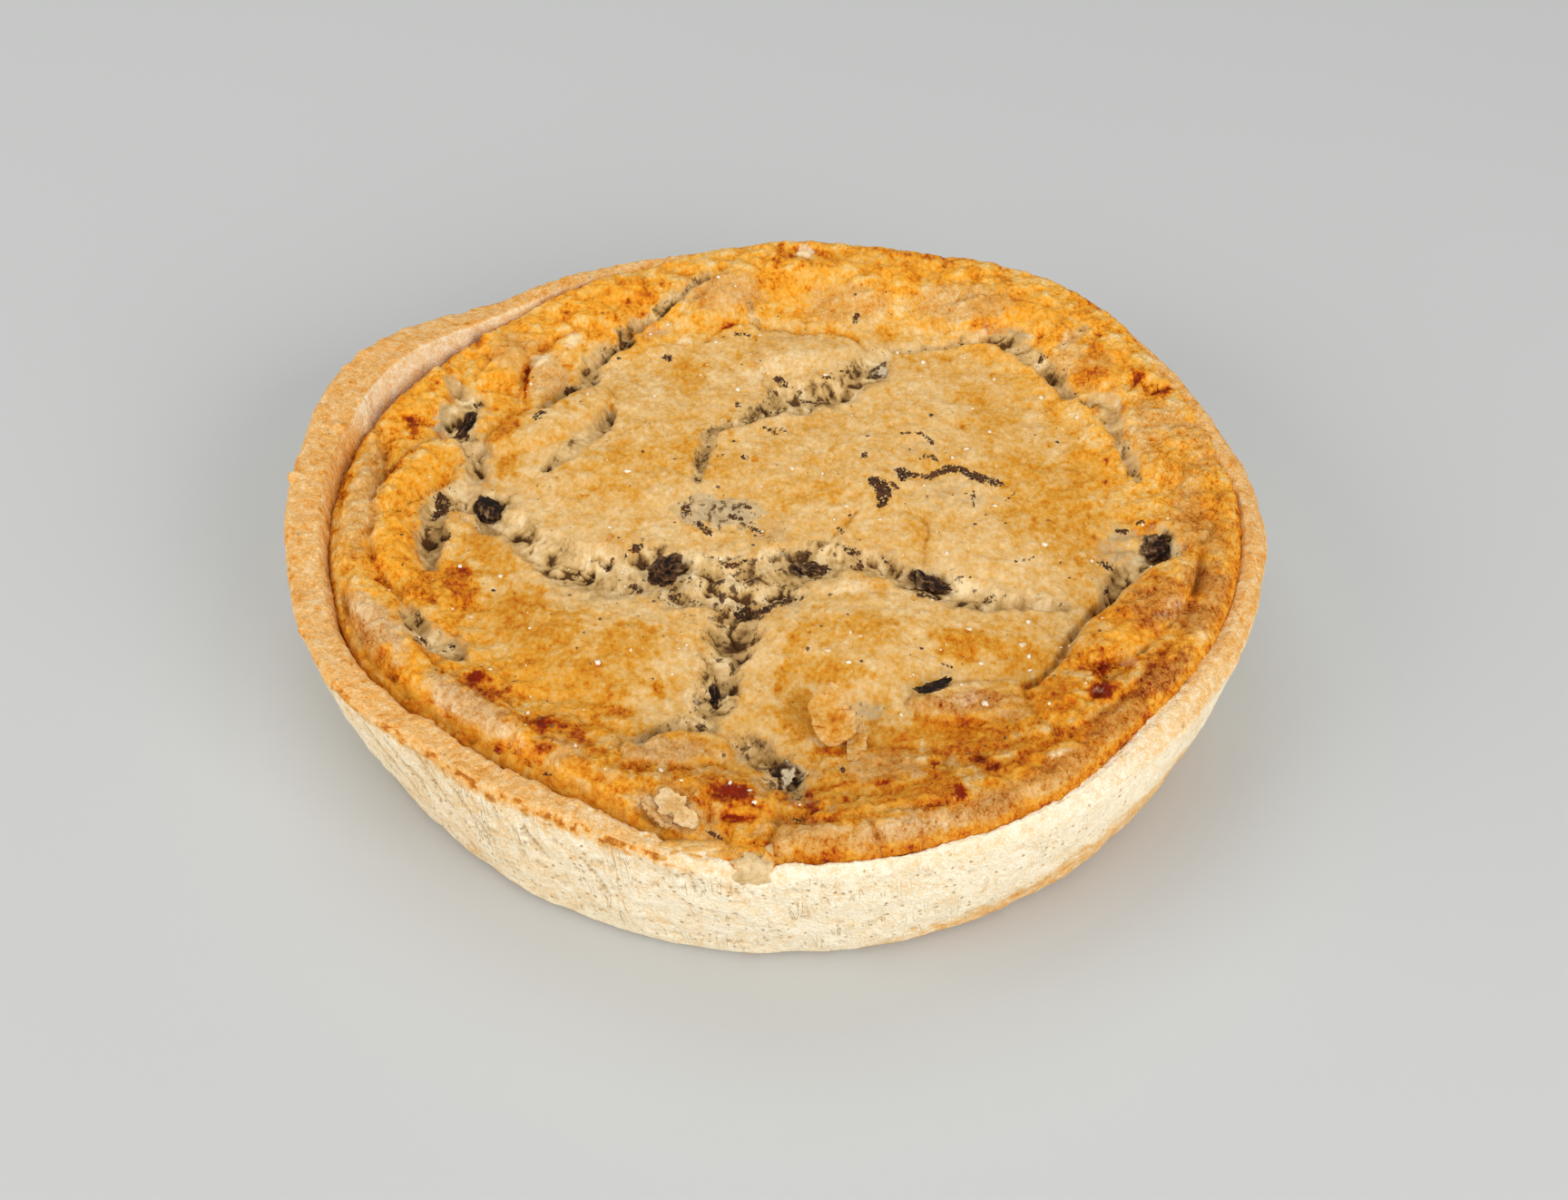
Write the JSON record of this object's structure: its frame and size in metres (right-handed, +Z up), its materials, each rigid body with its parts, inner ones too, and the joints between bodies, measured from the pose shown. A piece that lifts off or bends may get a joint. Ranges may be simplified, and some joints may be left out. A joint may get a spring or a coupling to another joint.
{
  "type": "quiche",
  "caption": "Round deep quiche: a pastry case filled with custard that has puffed up at its edge and cracked across the middle, with mushroom pieces in the cracks.",
  "frame": {"origin": "middle of the flat underside of the pastry case", "axes": "+Z up through the top; -Y is the front, the side nearest in the picture; +X is to the right seen from the front"},
  "size_m": [0.2512, 0.2363, 0.0432],
  "materials": {
    "pastry": "baked shortcrust pastry, matt and fine grained, cream on the wall and golden on the rim",
    "custard": "baked custard, a satin skin from tan to toasted brown",
    "mushroom": "cooked mushroom, dark brown and moist"
  },
  "bodies": {
    "root": {"pastry_case": "pastry", "filling": "custard", "mushroom_1": "mushroom", "mushroom_2": "mushroom", "mushroom_3": "mushroom", "mushroom_4": "mushroom", "mushroom_5": "mushroom", "mushroom_6": "mushroom", "mushroom_7": "mushroom", "mushroom_8": "mushroom", "mushroom_9": "mushroom", "mushroom_10": "mushroom"}
  },
  "joints": []
}
